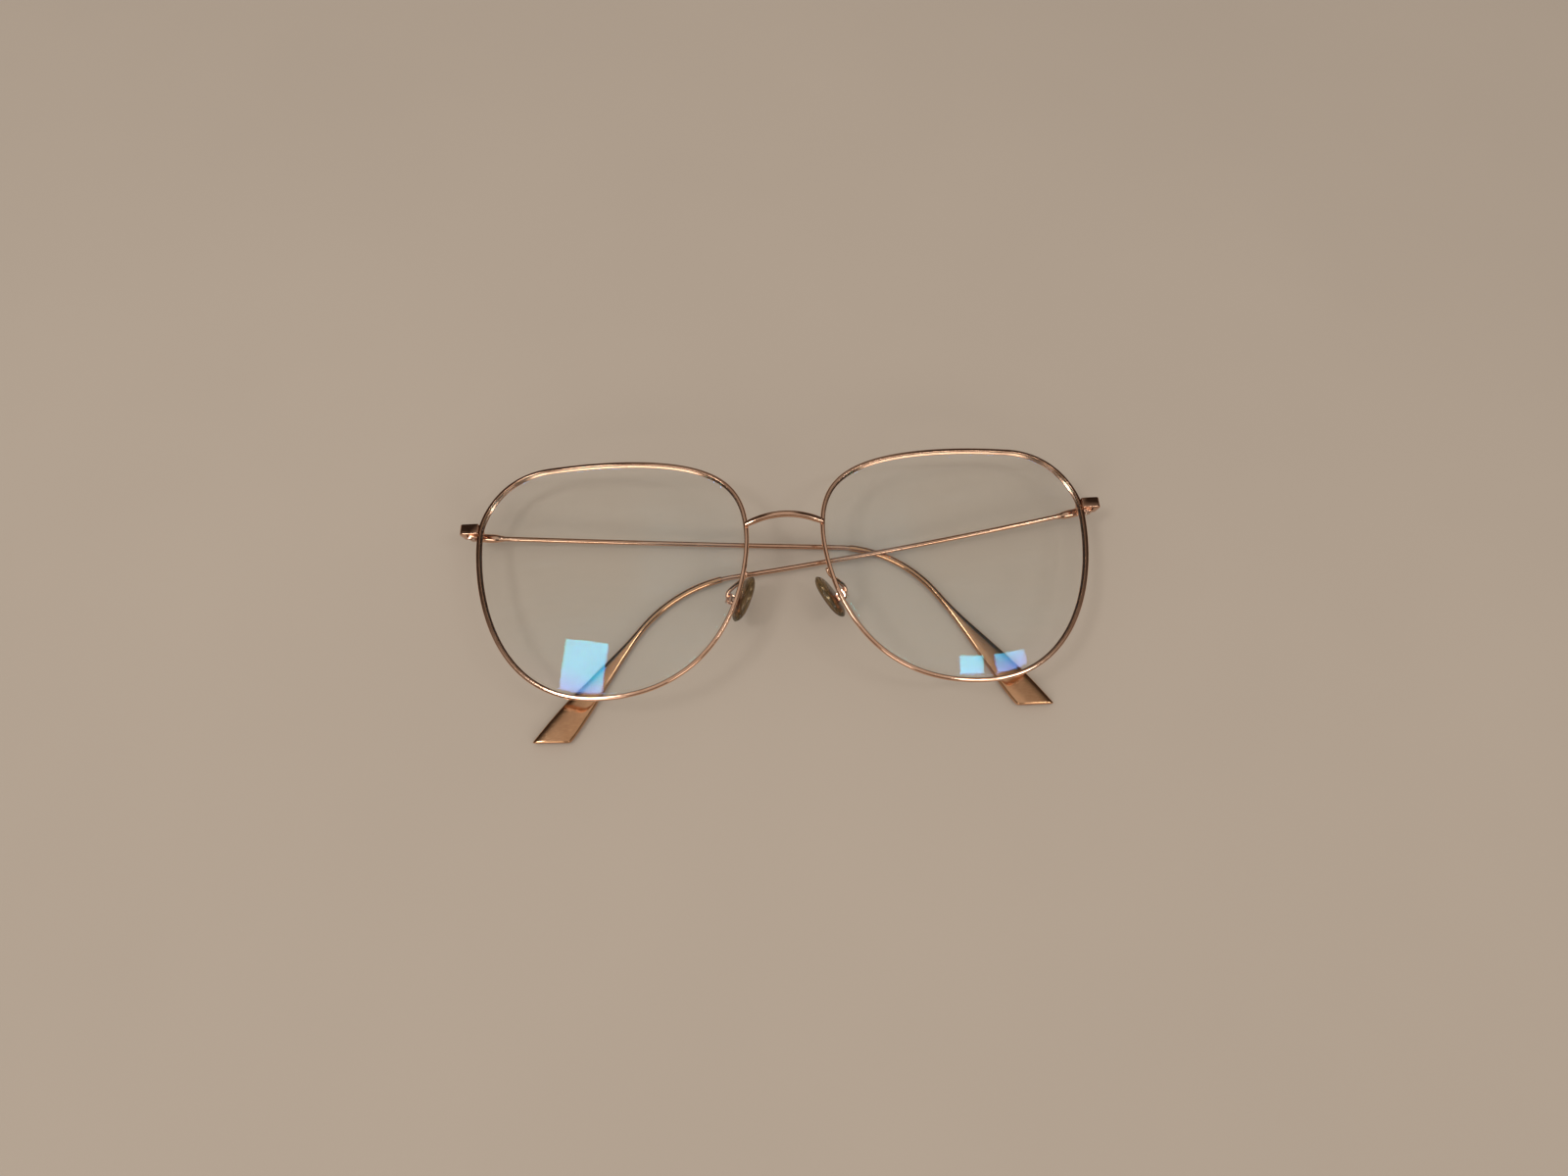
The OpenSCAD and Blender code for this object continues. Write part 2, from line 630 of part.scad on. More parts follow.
bridge();
left_rim();
left_lens();
left_rim_lock_upper();
left_rim_lock_lower();
left_rim_lock_screw();
left_end_piece();
left_hinge_front();
left_hinge_screw();
left_hinge_rear();
left_temple_butt();
left_temple_wire();
left_temple_tip();
left_pad_arm();
left_pad_box();
left_pad_screw();
left_pad_insert();
left_nose_pad();
right_rim();
right_lens();
right_rim_lock_upper();
right_rim_lock_lower();
right_rim_lock_screw();
right_end_piece();
right_hinge_front();
right_hinge_screw();
right_hinge_rear();
right_temple_butt();
right_temple_wire();
right_temple_tip();
right_pad_arm();
right_pad_box();
right_pad_screw();
right_pad_insert();
right_nose_pad();
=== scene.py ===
"""Looks of the folded full-rim wire eyeglasses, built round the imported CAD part."""

import json
import math

import bpy
from mathutils import Matrix, Vector


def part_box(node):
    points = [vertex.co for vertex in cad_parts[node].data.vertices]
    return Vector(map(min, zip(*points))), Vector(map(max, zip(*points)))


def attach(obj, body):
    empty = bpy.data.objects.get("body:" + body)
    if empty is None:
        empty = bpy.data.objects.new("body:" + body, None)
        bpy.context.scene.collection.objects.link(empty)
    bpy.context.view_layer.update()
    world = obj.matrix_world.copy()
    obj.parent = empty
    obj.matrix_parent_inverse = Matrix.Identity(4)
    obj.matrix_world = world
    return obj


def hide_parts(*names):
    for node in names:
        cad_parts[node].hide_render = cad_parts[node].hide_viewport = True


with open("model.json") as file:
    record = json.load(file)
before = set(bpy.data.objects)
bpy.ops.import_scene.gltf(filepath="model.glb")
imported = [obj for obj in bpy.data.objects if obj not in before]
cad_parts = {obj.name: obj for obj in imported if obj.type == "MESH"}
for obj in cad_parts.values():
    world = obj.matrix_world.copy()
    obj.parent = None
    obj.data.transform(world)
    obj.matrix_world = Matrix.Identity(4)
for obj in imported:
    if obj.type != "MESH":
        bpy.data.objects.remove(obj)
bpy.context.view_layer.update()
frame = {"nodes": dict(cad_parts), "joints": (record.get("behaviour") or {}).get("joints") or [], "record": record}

MM = 0.001
SIDES = ("left", "right")

# ---------------------------------------------------------------- shape values, in millimetres
RIM_W, RIM_H = 59.0, 52.4
FACE_FORM = math.radians(5)
OUTLINE_Y = -0.2
TOP = (0.472 * RIM_W / 2, RIM_H / 2)
OUTER = (RIM_W / 2, 0.481 * RIM_H / 2)
BOTTOM = (0.032 * RIM_W / 2, -RIM_H / 2)
INNER = (-RIM_W / 2, 0.26 * RIM_H / 2)
QUARTERS = ((TOP, OUTER, 0.85, 0.15), (TOP, INNER, 0.74, 0.87),
            (BOTTOM, INNER, 0.92, 0.17), (BOTTOM, OUTER, 0.93, 0.16))
WIRE_W, WIRE_T = 0.96, 1.3
WIRE_ROUND, WIRE_EDGE, WIRE_CROWN = 0.42, 0.14, 0.035   # half round, inner corners, domed front
GROOVE_X, GROOVE_HALF, MOUTH_HALF = -0.12, 0.25, 0.36
SPLIT = 0.008   # share of a quarter left open where the rim is split
LENS_T, LENS_R, LENS_GAP = 1.3, 131.0, 0.04
FACE_RISE = 0.4 * LENS_T   # from the lens's middle surface to either face

BRIDGE_FOOT_X, BRIDGE_RISE, BRIDGE_BOW, BRIDGE_T, BRIDGE_POWER = 8.35, 1.5, 1.5, 1.3, 3.0

# Pairs are the left and the right temple's
WIRE_LEN = 80.0
PITCH_FRONT, PITCH_REAR = (9.8, 3.9), (6.1, 3.0)
BEND_R, TIP_SLOPE, TIP_LEN = (31.8, 28.2), (51.8, 54.7), (29.6, 32.5)
TEMPLE_DROP = 2.02
WIRE_Z_REAR = (1.4, 0.92)
TEMPLE_D, SLEEVE_D = 1.1, 1.46
SLEEVE_AT, SOCKET_LEN, BUTT_SOCKET = 83.0, 9.0, 1.7
BLADE_W, BLADE_T, BLADE_POWER = 6.4, 1.8, 4.2
FLARE_FROM, FLARE_LEN, THICK_TO = 31.0, 29.0, 16.0
END_CUT = math.radians(54)
CUT_LEN = 8.0    # the rings lean towards the end cut over this length
MOUTH_R = 0.14   # rolled mouth of the sleeve
END_R, END_SHRINK = 0.4, 0.9   # rounding of the end face, along the blade and across it

PAD_L, PAD_W, PAD_T = 10.6, 6.8, 2.3
PAD_TRIM = 0.02  # the soft pad's outline stays inside the CAD pad's
PAD_CORNER, PAD_SIDE, PAD_DOME = 0.85, 0.42, 1.35   # powers that shape its outline and its edge


# ---------------------------------------------------------------- mesh helpers
def smooth(t):
    c = min(1.0, max(0.0, t))
    return c * c * (3 - 2 * c)


def signed_power(v, p):
    return math.copysign(abs(v) ** p, v)


def link(name, vertices, faces):
    """A smooth mesh object from points in millimetres."""
    mesh = bpy.data.meshes.new(name)
    mesh.from_pydata([Vector(v) * MM for v in vertices], [], faces)
    mesh.update()
    for polygon in mesh.polygons:
        polygon.use_smooth = True
    obj = bpy.data.objects.new(name, mesh)
    bpy.context.scene.collection.objects.link(obj)
    return obj


def skin(name, rings, mirror=False):
    """A closed surface through equal rings, with its two ends capped by fans."""
    n = len(rings[0])
    vertices = [p for ring in rings for p in ring]
    faces = []
    for i in range(len(rings) - 1):
        for j in range(n):
            k = (j + 1) % n
            faces.append((i * n + j, i * n + k, (i + 1) * n + k, (i + 1) * n + j))
    for ring, start, flip in ((rings[0], 0, True), (rings[-1], (len(rings) - 1) * n, False)):
        vertices.append(sum((Vector(p) for p in ring), Vector()) / n)
        centre = len(vertices) - 1
        for j in range(n):
            a, b = start + j, start + (j + 1) % n
            faces.append((b, a, centre) if flip else (a, b, centre))
    if mirror:
        vertices = [(-v[0], v[1], v[2]) for v in vertices]
        faces = [tuple(reversed(f)) for f in faces]
    return link(name, vertices, faces)


def oval(w, t, sides, power=2.0):
    """A rounded section: a superellipse w wide and t thick."""
    angles = [2 * math.pi * i / sides for i in range(sides)]
    return [(w / 2 * signed_power(math.cos(f), 2 / power),
             t / 2 * signed_power(math.sin(f), 2 / power)) for f in angles]


def ring(at, a, b, section):
    return [at + x * a + y * b for x, y in section]


def bezier(a, b, c, d, t):
    return (1 - t) ** 3 * a + 3 * t * (1 - t) ** 2 * b + 3 * t * t * (1 - t) * c + t ** 3 * d


def move_to_box(obj, node):
    """Centres a piece on the CAD node's box, and shrinks it to that box where it is larger."""
    low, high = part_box(node)
    reach = [[v.co[i] for v in obj.data.vertices] for i in range(3)]
    middle = Vector([(min(c) + max(c)) / 2 for c in reach])
    shrink = [min(1.0, (high[i] - low[i]) / (max(c) - min(c))) for i, c in enumerate(reach)]
    obj.data.transform(Matrix.Translation((low + high) / 2) @ Matrix.Diagonal((*shrink, 1.0))
                       @ Matrix.Translation(-middle))
    return obj


# ---------------------------------------------------------------- rims and lenses
def quarter(index, t):
    """A point of one of the four curves between the rim's extreme points."""
    p, q, pull_p, pull_q = QUARTERS[index]
    p, q = Vector(p), Vector(q)
    level = p + Vector((pull_p * (q.x - p.x), 0))
    upright = q + Vector((0, pull_q * (p.y - q.y)))
    return bezier(p, level, upright, q, t)


def outline_point(t):
    """A point of the rim's middle line, anticlockwise from its outer point, for t from 0 to 4."""
    index = min(3, int(t))
    f = t - index
    return quarter(index, 1 - f if index in (0, 2) else f) + Vector((0, OUTLINE_Y))


def outward(t):
    """Normal of the rim's middle line, away from the lens."""
    way = (outline_point(min(4, t + 1e-4)) - outline_point(max(0, t - 1e-4))).normalized()
    return Vector((way.y, -way.x))


def dome(x, y):
    """Height of the lens's middle surface over its own plane."""
    return math.sqrt(LENS_R * LENS_R - x * x - y * y) - LENS_R


def turned(p):
    """From the lens's own plane to the front, which each lens turns back from at its outer side."""
    c, s = math.cos(FACE_FORM), math.sin(FACE_FORM)
    return Vector((p[0] * c + p[2] * s, p[1], -p[0] * s + p[2] * c))


def rim_section():
    """Outer half round, a softly domed front, and a lens groove between soft corners."""
    half, thick = WIRE_W / 2, WIRE_T / 2
    points = []
    for i in range(25):
        f = math.radians(-90 + 180 * i / 24)
        points.append((half - WIRE_ROUND + WIRE_ROUND * math.cos(f), thick * math.sin(f)))
    front = half - WIRE_ROUND + half - WIRE_EDGE
    for i in range(1, 6):
        points.append((half - WIRE_ROUND - front * i / 6, thick - WIRE_CROWN * (i / 6) ** 2))
    for i in range(5):
        f = math.radians(90 + 90 * i / 4)
        points.append((-half + WIRE_EDGE + WIRE_EDGE * math.cos(f),
                       thick - WIRE_CROWN - WIRE_EDGE + WIRE_EDGE * math.sin(f)))
    points += [(-half, MOUTH_HALF), (GROOVE_X, GROOVE_HALF),
               (GROOVE_X, -GROOVE_HALF), (-half, -MOUTH_HALF)]
    for i in range(5):
        f = math.radians(180 + 90 * i / 4)
        points.append((-half + WIRE_EDGE + WIRE_EDGE * math.cos(f),
                       -thick + WIRE_EDGE + WIRE_EDGE * math.sin(f)))
    return points


def build_rim(side):
    """An open ring of wire whose section leans with the lens surface."""
    section = rim_section()
    steps = 320
    rings = []
    for i in range(steps + 1):
        t = min(4 - SPLIT, max(SPLIT, 4 * i / steps))
        p, n = outline_point(t), outward(t)
        middle = Vector((p.x, p.y, dome(p.x, p.y)))
        thickness = (middle + Vector((0, 0, LENS_R))).normalized()
        across = (Vector((n.x, n.y, 0)) - n.dot(thickness.xy) * thickness).normalized()
        rings.append([turned(q) for q in ring(middle, across, thickness, section)])
    return move_to_box(skin(side + "_rim_wire", rings, side == "right"), side + "_rim")


def build_lens(side):
    """Two domed faces of radial grids, joined at their edge."""
    around, radial = 192, 40
    inset = WIRE_W / 2 + LENS_GAP
    edge = [outline_point(4 * i / around) - inset * outward(4 * i / around) for i in range(around)]
    middle = Vector((0, OUTLINE_Y))
    vertices, faces = [], []
    for face in (1, -1):
        start = len(vertices)
        vertices.append(turned((middle.x, middle.y, face * FACE_RISE)))
        for r in range(1, radial + 1):
            for p in edge:
                q = middle + (p - middle) * (r / radial)
                vertices.append(turned((q.x, q.y, dome(q.x, q.y) + face * FACE_RISE)))
        for j in range(around):
            k = (j + 1) % around
            tri = (start, start + 1 + j, start + 1 + k)
            faces.append(tri if face > 0 else tuple(reversed(tri)))
            for r in range(radial - 1):
                a = start + 1 + r * around
                quad = (a + j, a + around + j, a + around + k, a + k)
                faces.append(quad if face > 0 else tuple(reversed(quad)))
    top = 1 + (radial - 1) * around
    low = 1 + radial * around + top
    for j in range(around):
        k = (j + 1) % around
        faces.append((top + j, low + j, low + k, top + k))
    if side == "right":
        vertices = [(-v[0], v[1], v[2]) for v in vertices]
        faces = [tuple(reversed(f)) for f in faces]
    return move_to_box(link(side + "_lens_glass", vertices, faces), side + "_lens")


# ---------------------------------------------------------------- bridge
def build_bridge():
    """A bowed bar with a squarish section that slims a little towards its feet."""
    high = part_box("bridge")[1]
    top_y = high.y / MM - BRIDGE_T / 2
    top_z = high.z / MM - BRIDGE_T / 2
    steps = 120

    def point(t):
        s = 2 * t - 1
        return Vector((s * BRIDGE_FOOT_X, top_y - BRIDGE_RISE * s * s, top_z - BRIDGE_BOW * s * s))

    rings = []
    for i in range(steps + 1):
        t = i / steps
        way = (point(t + 0.01) - point(t - 0.01)).normalized()
        up = way.cross(Vector((0, 0, -1))).normalized()
        ends = smooth(abs(2 * t - 1) * 4 - 3)
        section = oval(BRIDGE_T * (1 - 0.15 * ends), BRIDGE_T * (1 - 0.1 * ends), 36,
                       BRIDGE_POWER)
        rings.append(ring(point(t), -up, (-up).cross(way), section))
    return move_to_box(skin("bridge_bar", rings), "bridge")


# ---------------------------------------------------------------- temples
class Temple:
    """The folded temple: its middle line from its hinge joint, and sections across it."""

    def __init__(self, side):
        self.side = side
        self.k = SIDES.index(side)
        joint = next(j for j in frame["joints"] if j["name"] == side + "_temple_hinge")
        self.hinge = Vector([abs(joint["pos_m"][0]), joint["pos_m"][1], joint["pos_m"][2]]) / MM
        self.z_front = self.hinge.z - TEMPLE_DROP
        self.bend = BEND_R[self.k] * math.radians(TIP_SLOPE[self.k] - PITCH_REAR[self.k])
        self.length = WIRE_LEN + self.bend + TIP_LEN[self.k]

    def slope(self, s):
        """Slope down the front, in radians, at a length of s from the hinge."""
        k = self.k
        if s < WIRE_LEN:
            return math.radians(PITCH_FRONT[k] + (PITCH_REAR[k] - PITCH_FRONT[k]) * s / WIRE_LEN)
        if s < WIRE_LEN + self.bend:
            return math.radians(PITCH_REAR[k]) + (s - WIRE_LEN) / BEND_R[k]
        return math.radians(TIP_SLOPE[k])

    @staticmethod
    def arc_end(p, a, b, length):
        """Where an arc from p ends whose slope runs from a to b."""
        if abs(a - b) < 1e-9:
            return p + length * Vector((math.cos(a), -math.sin(a)))
        return p + length / (b - a) * Vector((math.sin(b) - math.sin(a), math.cos(b) - math.cos(a)))

    def run(self, s):
        """The folded temple's middle line in the front's plane, from the hinge."""
        front, rear = math.radians(PITCH_FRONT[self.k]), math.radians(PITCH_REAR[self.k])
        tip = math.radians(TIP_SLOPE[self.k])
        wire_end = self.arc_end(Vector((0, 0)), front, rear, WIRE_LEN)
        if s < WIRE_LEN:
            return self.arc_end(Vector((0, 0)), front, self.slope(s), s)
        if s < WIRE_LEN + self.bend:
            return self.arc_end(wire_end, rear, self.slope(s), s - WIRE_LEN)
        bend_end = self.arc_end(wire_end, rear, tip, self.bend)
        return bend_end + (s - WIRE_LEN - self.bend) * Vector((math.cos(tip), -math.sin(tip)))

    def height(self, s):
        rear = WIRE_Z_REAR[self.k]
        if s < WIRE_LEN:
            return self.z_front + (rear - self.z_front) * s / WIRE_LEN
        return rear + (BLADE_T / 2 - rear) * smooth((s - WIRE_LEN) / self.bend)

    def point(self, s):
        p = self.run(s)
        return Vector((self.hinge.x - p.x, self.hinge.y + p.y, self.height(s)))

    def way(self, s):
        return (self.point(s + 0.05) - self.point(s - 0.05)).normalized()

    def ring(self, s, section, slant=0.0):
        """A section across the temple; slant leans it towards the end cut."""
        f = self.slope(s)
        up = Vector((-math.sin(f), math.cos(f), 0))
        way = self.way(s)
        return ring(self.point(s), up + slant * way, up.cross(way), section)

    def left(self, s):
        return self.length - s

    def tip_width(self, s):
        return SLEEVE_D + (BLADE_W - SLEEVE_D) * smooth((FLARE_FROM - self.left(s)) / FLARE_LEN)

    def tip_share(self, s):
        return smooth((FLARE_FROM - self.left(s)) / (FLARE_FROM - THICK_TO))

    def tip_ring(self, s, grow=0.0, flat=0.0):
        """A ring of the tip; grow widens it and flat thickens it."""
        share = self.tip_share(s)
        thick = SLEEVE_D + (BLADE_T - SLEEVE_D) * share + flat
        section = oval(self.tip_width(s) + grow, thick, 64, 2 + (BLADE_POWER - 2) * share)
        return self.ring(s, section, smooth(1 - self.left(s) / CUT_LEN) / math.tan(END_CUT))


def build_temple_wire(temple):
    section = oval(TEMPLE_D, TEMPLE_D, 28)
    start, end, steps = BUTT_SOCKET, SLEEVE_AT + SOCKET_LEN - 0.1, 150
    rings = [temple.ring(start + (end - start) * i / steps, section) for i in range(steps + 1)]
    return skin(temple.side + "_temple_rod", rings, temple.side == "right")


def build_temple_tip(temple):
    """A sleeve with a rolled mouth that bends behind the ear and flattens to a blade."""
    rings = []
    bore = oval(TEMPLE_D + 0.06, TEMPLE_D + 0.06, 64)
    for i in range(6):
        rings.append(temple.ring(SLEEVE_AT + 2 - 2 * i / 5, bore))
    for i in range(1, 7):
        f = math.pi / 2 * i / 6
        less = -MOUTH_R * (1 - math.sin(f))
        rings.append(temple.tip_ring(SLEEVE_AT + MOUTH_R * (1 - math.cos(f)), less, less))
    start, end, steps = SLEEVE_AT + MOUTH_R + 0.1, temple.length - END_R - 0.02, 190
    for i in range(steps + 1):
        rings.append(temple.tip_ring(start + (end - start) * i / steps))
    for i in range(1, 9):
        f = math.pi / 2 * i / 8
        less = -END_SHRINK * (1 - math.cos(f))
        rings.append(temple.tip_ring(end + END_R * math.sin(f), less, less))
    return skin(temple.side + "_temple_blade", rings, temple.side == "right")


# ---------------------------------------------------------------- nose pads
def build_pad(side):
    """A soft-edged drop: two shallow domes that roll into each other."""
    sx = 1 if side == "left" else -1
    joint = next(j for j in frame["joints"] if j["name"] == side + "_pad_rock")
    low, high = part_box(side + "_nose_pad")
    middle = (low + high) / 2 / MM
    x_axis = Vector(joint["axis"]).normalized()
    lean = math.atan2(x_axis.y, sx * x_axis.x)
    y_axis = Vector((-sx * math.sin(lean), math.cos(lean), 0))
    z_axis = sx * x_axis.cross(y_axis)
    vertices, faces = [], []
    around, layers = 72, 28
    for i in range(layers + 1):
        f = math.pi * i / layers - math.pi / 2
        wide = max(0.0, math.cos(f)) ** PAD_SIDE
        rise = signed_power(math.sin(f), PAD_DOME) * PAD_T / 2
        for j in range(around):
            a = 2 * math.pi * j / around
            drop = 1 + 0.05 * math.sin(a)
            lx = (PAD_W / 2 - PAD_TRIM) * drop * signed_power(math.cos(a), PAD_CORNER) * wide
            ly = (PAD_L / 2 - PAD_TRIM) * signed_power(math.sin(a), PAD_CORNER) * wide
            vertices.append(middle + lx * x_axis + ly * y_axis + rise * z_axis)
    for i in range(layers):
        for j in range(around):
            k = (j + 1) % around
            quad = (i * around + j, i * around + k, (i + 1) * around + k, (i + 1) * around + j)
            faces.append(quad if sx > 0 else tuple(reversed(quad)))
    obj = link(side + "_pad_silicone", vertices, faces)
    weld = obj.modifiers.new("weld", "WELD")
    weld.merge_threshold = 1e-6
    return obj


# ---------------------------------------------------------------- materials
GRAIN_DEPTH = 0.00002    # metres
SILICONE_IOR = 1.41
COAT_MIRROR = 0.022      # share of light that each coated face mirrors
LENS_MIDDLE_X = 0.036    # metres
CYAN, VIOLET = (0.0, 0.82, 0.84), (0.32, 0.40, 0.95)
BLUE, TEAL = (0.10, 0.28, 0.85), (0.05, 0.36, 0.80)


class Nodes:
    """A short way to write a node tree."""

    def __init__(self, tree):
        self.tree = tree
        tree.nodes.clear()

    def add(self, kind, inputs=None, **settings):
        """A node with its settings; each input is linked to a socket or set to a value."""
        node = self.tree.nodes.new("ShaderNode" + kind)
        for key, value in settings.items():
            setattr(node, key, value)
        for key, value in (inputs or {}).items():
            socket = node.inputs[key]
            if isinstance(value, bpy.types.NodeSocket):
                self.tree.links.new(value, socket)
            elif socket.type == "RGBA":
                socket.default_value = (*value[:3], 1.0)
            else:
                socket.default_value = value
        return node

    def math(self, operation, a, b=0.0):
        return self.add("Math", {0: a, 1: b}, operation=operation).outputs[0]

    def noise(self, where, scale, detail=4.0, roughness=0.55):
        inputs = {"Vector": where, "Scale": scale, "Detail": detail, "Roughness": roughness}
        return self.add("TexNoise", inputs).outputs["Fac"]

    def ramp(self, value, *stops):
        """A colour ramp from (position, colour) stops."""
        node = self.add("ValToRGB", {"Fac": value})
        elements = node.color_ramp.elements
        while len(elements) < len(stops):
            elements.new(0.5)
        for element, (position, colour) in zip(elements, stops):
            element.position = position
            element.color = (*colour, 1.0)
        return node.outputs["Color"]

    def grey(self, value, low, high, start=0.0, end=1.0):
        """Runs from low to high while the value runs from start to end."""
        inputs = {"Value": value, "From Min": start, "From Max": end, "To Min": low, "To Max": high}
        return self.add("MapRange", inputs).outputs["Result"]

    def mix(self, factor, a, b):
        """A colour between a and b."""
        return self.add("Mix", {0: factor, 6: a, 7: b}, data_type="RGBA").outputs[2]

    def mix_shader(self, factor, a, b):
        return self.add("MixShader", {0: factor, 1: a, 2: b}).outputs[0]

    def out(self, shader, kind="OutputMaterial"):
        self.add(kind, {"Surface": shader})


def material(name):
    made = bpy.data.materials.new(name)
    made.use_nodes = True
    nodes = Nodes(made.node_tree)
    where = nodes.add("TexCoord").outputs["Object"]
    return made, nodes, where


def metal(name, deep, light, rough, grain, shade_and_grime=0.5):
    """Polished plating: slow tone drift, fine rubbing marks, dull spots and painted shade with dirt in corners."""
    made, nodes, where = material(name)
    drift = nodes.noise(where, 140.0)
    drawn_out = nodes.add("Mapping", {"Vector": where, "Scale": (1.0, 6.0, 3.0)}).outputs[0]
    rub = nodes.noise(drawn_out, 900.0, 6.0, 0.7)
    spots = nodes.noise(where, 2600.0, 3.0)
    tone = nodes.mix(nodes.grey(drift, 0.0, 1.0, 0.3, 0.7), deep, light)
    rubbed = tuple(min(1.0, c * 1.15) for c in light)
    tone = nodes.mix(nodes.grey(rub, 0.0, 0.35, 0.45, 0.75), tone, rubbed)
    # Painted shade: ambient occlusion darkens the colour in corners and between parts; the same mask dulls the
    # roughness there like dirt
    crevice = nodes.add("AmbientOcclusion", {"Distance": 0.0009}, samples=8).outputs["AO"]
    shade_and_dirt = nodes.math("MULTIPLY", nodes.math("SUBTRACT", 1.0, crevice), shade_and_grime)
    tone = nodes.mix(shade_and_dirt, tone, tuple(c * 0.28 for c in deep))
    edges = nodes.grey(nodes.add("NewGeometry").outputs["Pointiness"], 0.0, 0.5, 0.52, 0.62)
    tone = nodes.mix(edges, tone, tuple(min(1.0, c * 1.2) for c in light))
    worn = nodes.math("ADD", nodes.grey(rub, rough[0], rough[1], 0.35, 0.75),
                      nodes.grey(spots, 0.0, 0.06, 0.5, 0.8))
    worn = nodes.math("ADD", worn, nodes.math("MULTIPLY", shade_and_dirt, 0.25))
    height = nodes.math("ADD", rub, nodes.math("MULTIPLY", spots, 0.5))
    bump = nodes.add("Bump", {"Height": height, "Strength": grain, "Distance": GRAIN_DEPTH})
    shader = nodes.add("BsdfPrincipled", {"Base Color": tone, "Metallic": 1.0, "Roughness": worn,
                                          "Normal": bump.outputs[0]})
    nodes.out(shader.outputs[0])
    return made


def lens_material():
    """Clear lens whose coating mirrors cyan, turning violet low down and behind, with faint
    wiping marks."""
    made, nodes, where = material("lens_coated")
    drawn_out = nodes.add("Mapping", {"Vector": where, "Rotation": (0, 0, 0.6), "Scale": (1, 5, 1)})
    wiped = nodes.noise(drawn_out.outputs[0], 90.0, 5.0, 0.6)
    specks = nodes.noise(where, 1500.0, 2.0)
    drift = nodes.math("MULTIPLY", nodes.noise(where, 60.0, 2.0), 0.004)
    spot = nodes.add("SeparateXYZ", {0: where}).outputs
    outer = nodes.math("SUBTRACT", nodes.math("ABSOLUTE", spot["X"]), LENS_MIDDLE_X)
    low = nodes.math("ADD", nodes.math("SUBTRACT", drift, spot["Y"]),
                     nodes.math("MULTIPLY", outer, 0.5))
    front_tint = nodes.mix(nodes.grey(low, 0.0, 1.0, 0.0225, 0.0275), CYAN, VIOLET)
    back_tint = nodes.mix(nodes.grey(drift, 0.0, 1.0, 0.001, 0.003), BLUE, TEAL)
    behind = nodes.add("NewGeometry").outputs["Backfacing"]
    facing = nodes.add("LayerWeight", {"Blend": 0.5}).outputs["Facing"]
    grazing = nodes.math("POWER", facing, 4.0)
    tint = nodes.mix(grazing, nodes.mix(behind, front_tint, back_tint), (0.62, 0.56, 0.50))
    strength = nodes.math("ADD", nodes.grey(grazing, COAT_MIRROR, 0.25),
                          nodes.grey(wiped, 0.0, 0.004))
    gloss = nodes.add("BsdfGlossy", {"Color": tint,
                                     "Roughness": nodes.grey(wiped, 0.0, 0.03, 0.4, 0.8)})
    through = nodes.mix(wiped, (0.998, 1.0, 0.997), (0.99, 0.995, 0.99))
    clear = nodes.add("BsdfTransparent", {"Color": through})
    film = nodes.add("BsdfDiffuse", {"Color": (0.8, 0.82, 0.84)})
    haze = nodes.math("ADD", nodes.grey(wiped, 0.0, 0.012, 0.5, 0.8),
                      nodes.grey(specks, 0.0, 0.03, 0.68, 0.8))
    shader = nodes.mix_shader(strength, clear.outputs[0], gloss.outputs[0])
    nodes.out(nodes.mix_shader(haze, shader, film.outputs[0]))
    return made


def pad_material():
    """Aged clear silicone: olive tan, slightly cloudy, and darker towards its outline, a painted shade for
    refraction's dark rim.
    """
    made, nodes, where = material("pad_silicone")
    cloud = nodes.noise(where, 420.0, 5.0)
    fine = nodes.noise(where, 3200.0, 3.0)
    tone = nodes.mix(nodes.grey(cloud, 0.0, 1.0, 0.3, 0.7), (0.20, 0.13, 0.06), (0.42, 0.30, 0.16))
    # Painted shade: the tone darkens as the surface turns away from the view, for the dark rim that refraction
    # gives
    facing = nodes.add("LayerWeight", {"Blend": 0.5}).outputs["Facing"]
    tone = nodes.mix(nodes.grey(facing, 0.0, 0.85, 0.35, 0.8), tone, (0.05, 0.03, 0.015))
    bump = nodes.add("Bump", {"Height": fine, "Strength": 0.12, "Distance": 1.5 * GRAIN_DEPTH})
    shader = nodes.add("BsdfPrincipled", {
        "Base Color": tone, "Roughness": nodes.grey(cloud, 0.06, 0.16, 0.3, 0.7),
        "IOR": SILICONE_IOR, "Transmission Weight": 0.9, "Normal": bump.outputs[0]})
    nodes.out(shader.outputs[0])
    return made


def floor_material():
    """Pale matt surface with a slow drift of tone."""
    made, nodes, where = material("floor_pale")
    drift = nodes.noise(where, 9.0, 3.0)
    tone = nodes.mix(drift, (0.32, 0.262, 0.21), (0.35, 0.287, 0.23))
    shader = nodes.add("BsdfPrincipled", {"Base Color": tone, "Roughness": 0.9,
                                          "Specular IOR Level": 0.15})
    nodes.out(shader.outputs[0])
    return made


# name, dark and light tone, range of roughness, depth of grain, painted corner shade with dirt
GOLD = metal("rose_gold", (0.66, 0.37, 0.23), (0.84, 0.53, 0.37), (0.06, 0.18), 0.12)
BLADE_GOLD = metal("rose_gold_blade", (0.60, 0.31, 0.155), (0.80, 0.455, 0.25), (0.06, 0.17), 0.15)
